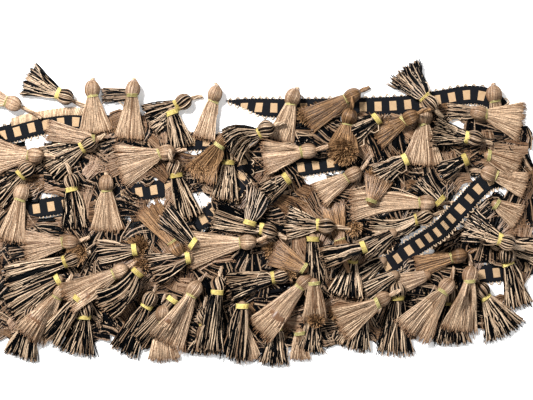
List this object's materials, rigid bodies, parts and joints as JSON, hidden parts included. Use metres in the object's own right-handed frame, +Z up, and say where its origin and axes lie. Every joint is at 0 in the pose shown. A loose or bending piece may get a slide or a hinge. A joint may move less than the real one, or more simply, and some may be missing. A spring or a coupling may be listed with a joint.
{
  "type": "tassel fringe trim",
  "caption": "Long woven tape with a beige chequered band, laid back and forth in a flat heap, with plain beige and black and beige tassels hanging from one edge.",
  "frame": {"origin": "centre of the heap's bounding box, on the surface that it lies on", "axes": "+Z up, X along the heap's length, Y across it"},
  "size_m": [0.5092, 0.2462, 0.0317],
  "materials": {
    "beige_yarn": "satin",
    "striped_yarn": "satin",
    "woven_tape": "matte",
    "beige_gimp": "satin",
    "yellow_tie": "satin"
  },
  "bodies": {
    "root": {"tape": "woven_tape", "tassel_01": "striped_yarn", "tassel_02": "striped_yarn", "tassel_03": "striped_yarn", "tassel_04": "striped_yarn", "tassel_05": "striped_yarn", "tassel_06": "striped_yarn", "tassel_07": "striped_yarn", "tassel_08": "beige_yarn", "tassel_09": "beige_yarn", "tassel_10": "striped_yarn", "tassel_11": "beige_yarn", "tassel_12": "striped_yarn", "tassel_13": "beige_yarn", "tassel_14": "beige_yarn", "tassel_15": "beige_yarn", "tassel_16": "striped_yarn", "tassel_17": "beige_yarn", "tassel_18": "beige_yarn", "tassel_19": "beige_yarn", "tassel_20": "beige_yarn", "tassel_21": "beige_yarn", "tassel_22": "striped_yarn", "tassel_23": "beige_yarn", "tassel_24": "striped_yarn", "tassel_25": "striped_yarn", "tassel_26": "striped_yarn", "tassel_27": "beige_yarn", "tassel_28": "beige_yarn", "tassel_29": "striped_yarn", "tassel_30": "beige_yarn", "tassel_31": "striped_yarn", "tassel_32": "beige_yarn", "tassel_33": "striped_yarn", "tassel_34": "beige_yarn", "tassel_35": "beige_yarn", "tassel_36": "striped_yarn", "tassel_37": "beige_yarn", "tassel_38": "striped_yarn", "tassel_39": "striped_yarn", "tassel_40": "beige_yarn", "tassel_41": "beige_yarn", "tassel_42": "striped_yarn", "tassel_43": "beige_yarn", "tassel_44": "striped_yarn", "tassel_45": "striped_yarn", "tassel_46": "striped_yarn", "tassel_47": "beige_yarn", "tassel_48": "striped_yarn", "tassel_49": "beige_yarn", "tassel_50": "beige_yarn", "tassel_51": "beige_yarn", "tassel_52": "beige_yarn", "tassel_53": "striped_yarn", "tassel_54": "striped_yarn", "tassel_55": "striped_yarn", "tassel_56": "beige_yarn", "tassel_57": "beige_yarn", "tassel_58": "striped_yarn", "tassel_59": "beige_yarn"}
  },
  "joints": []
}
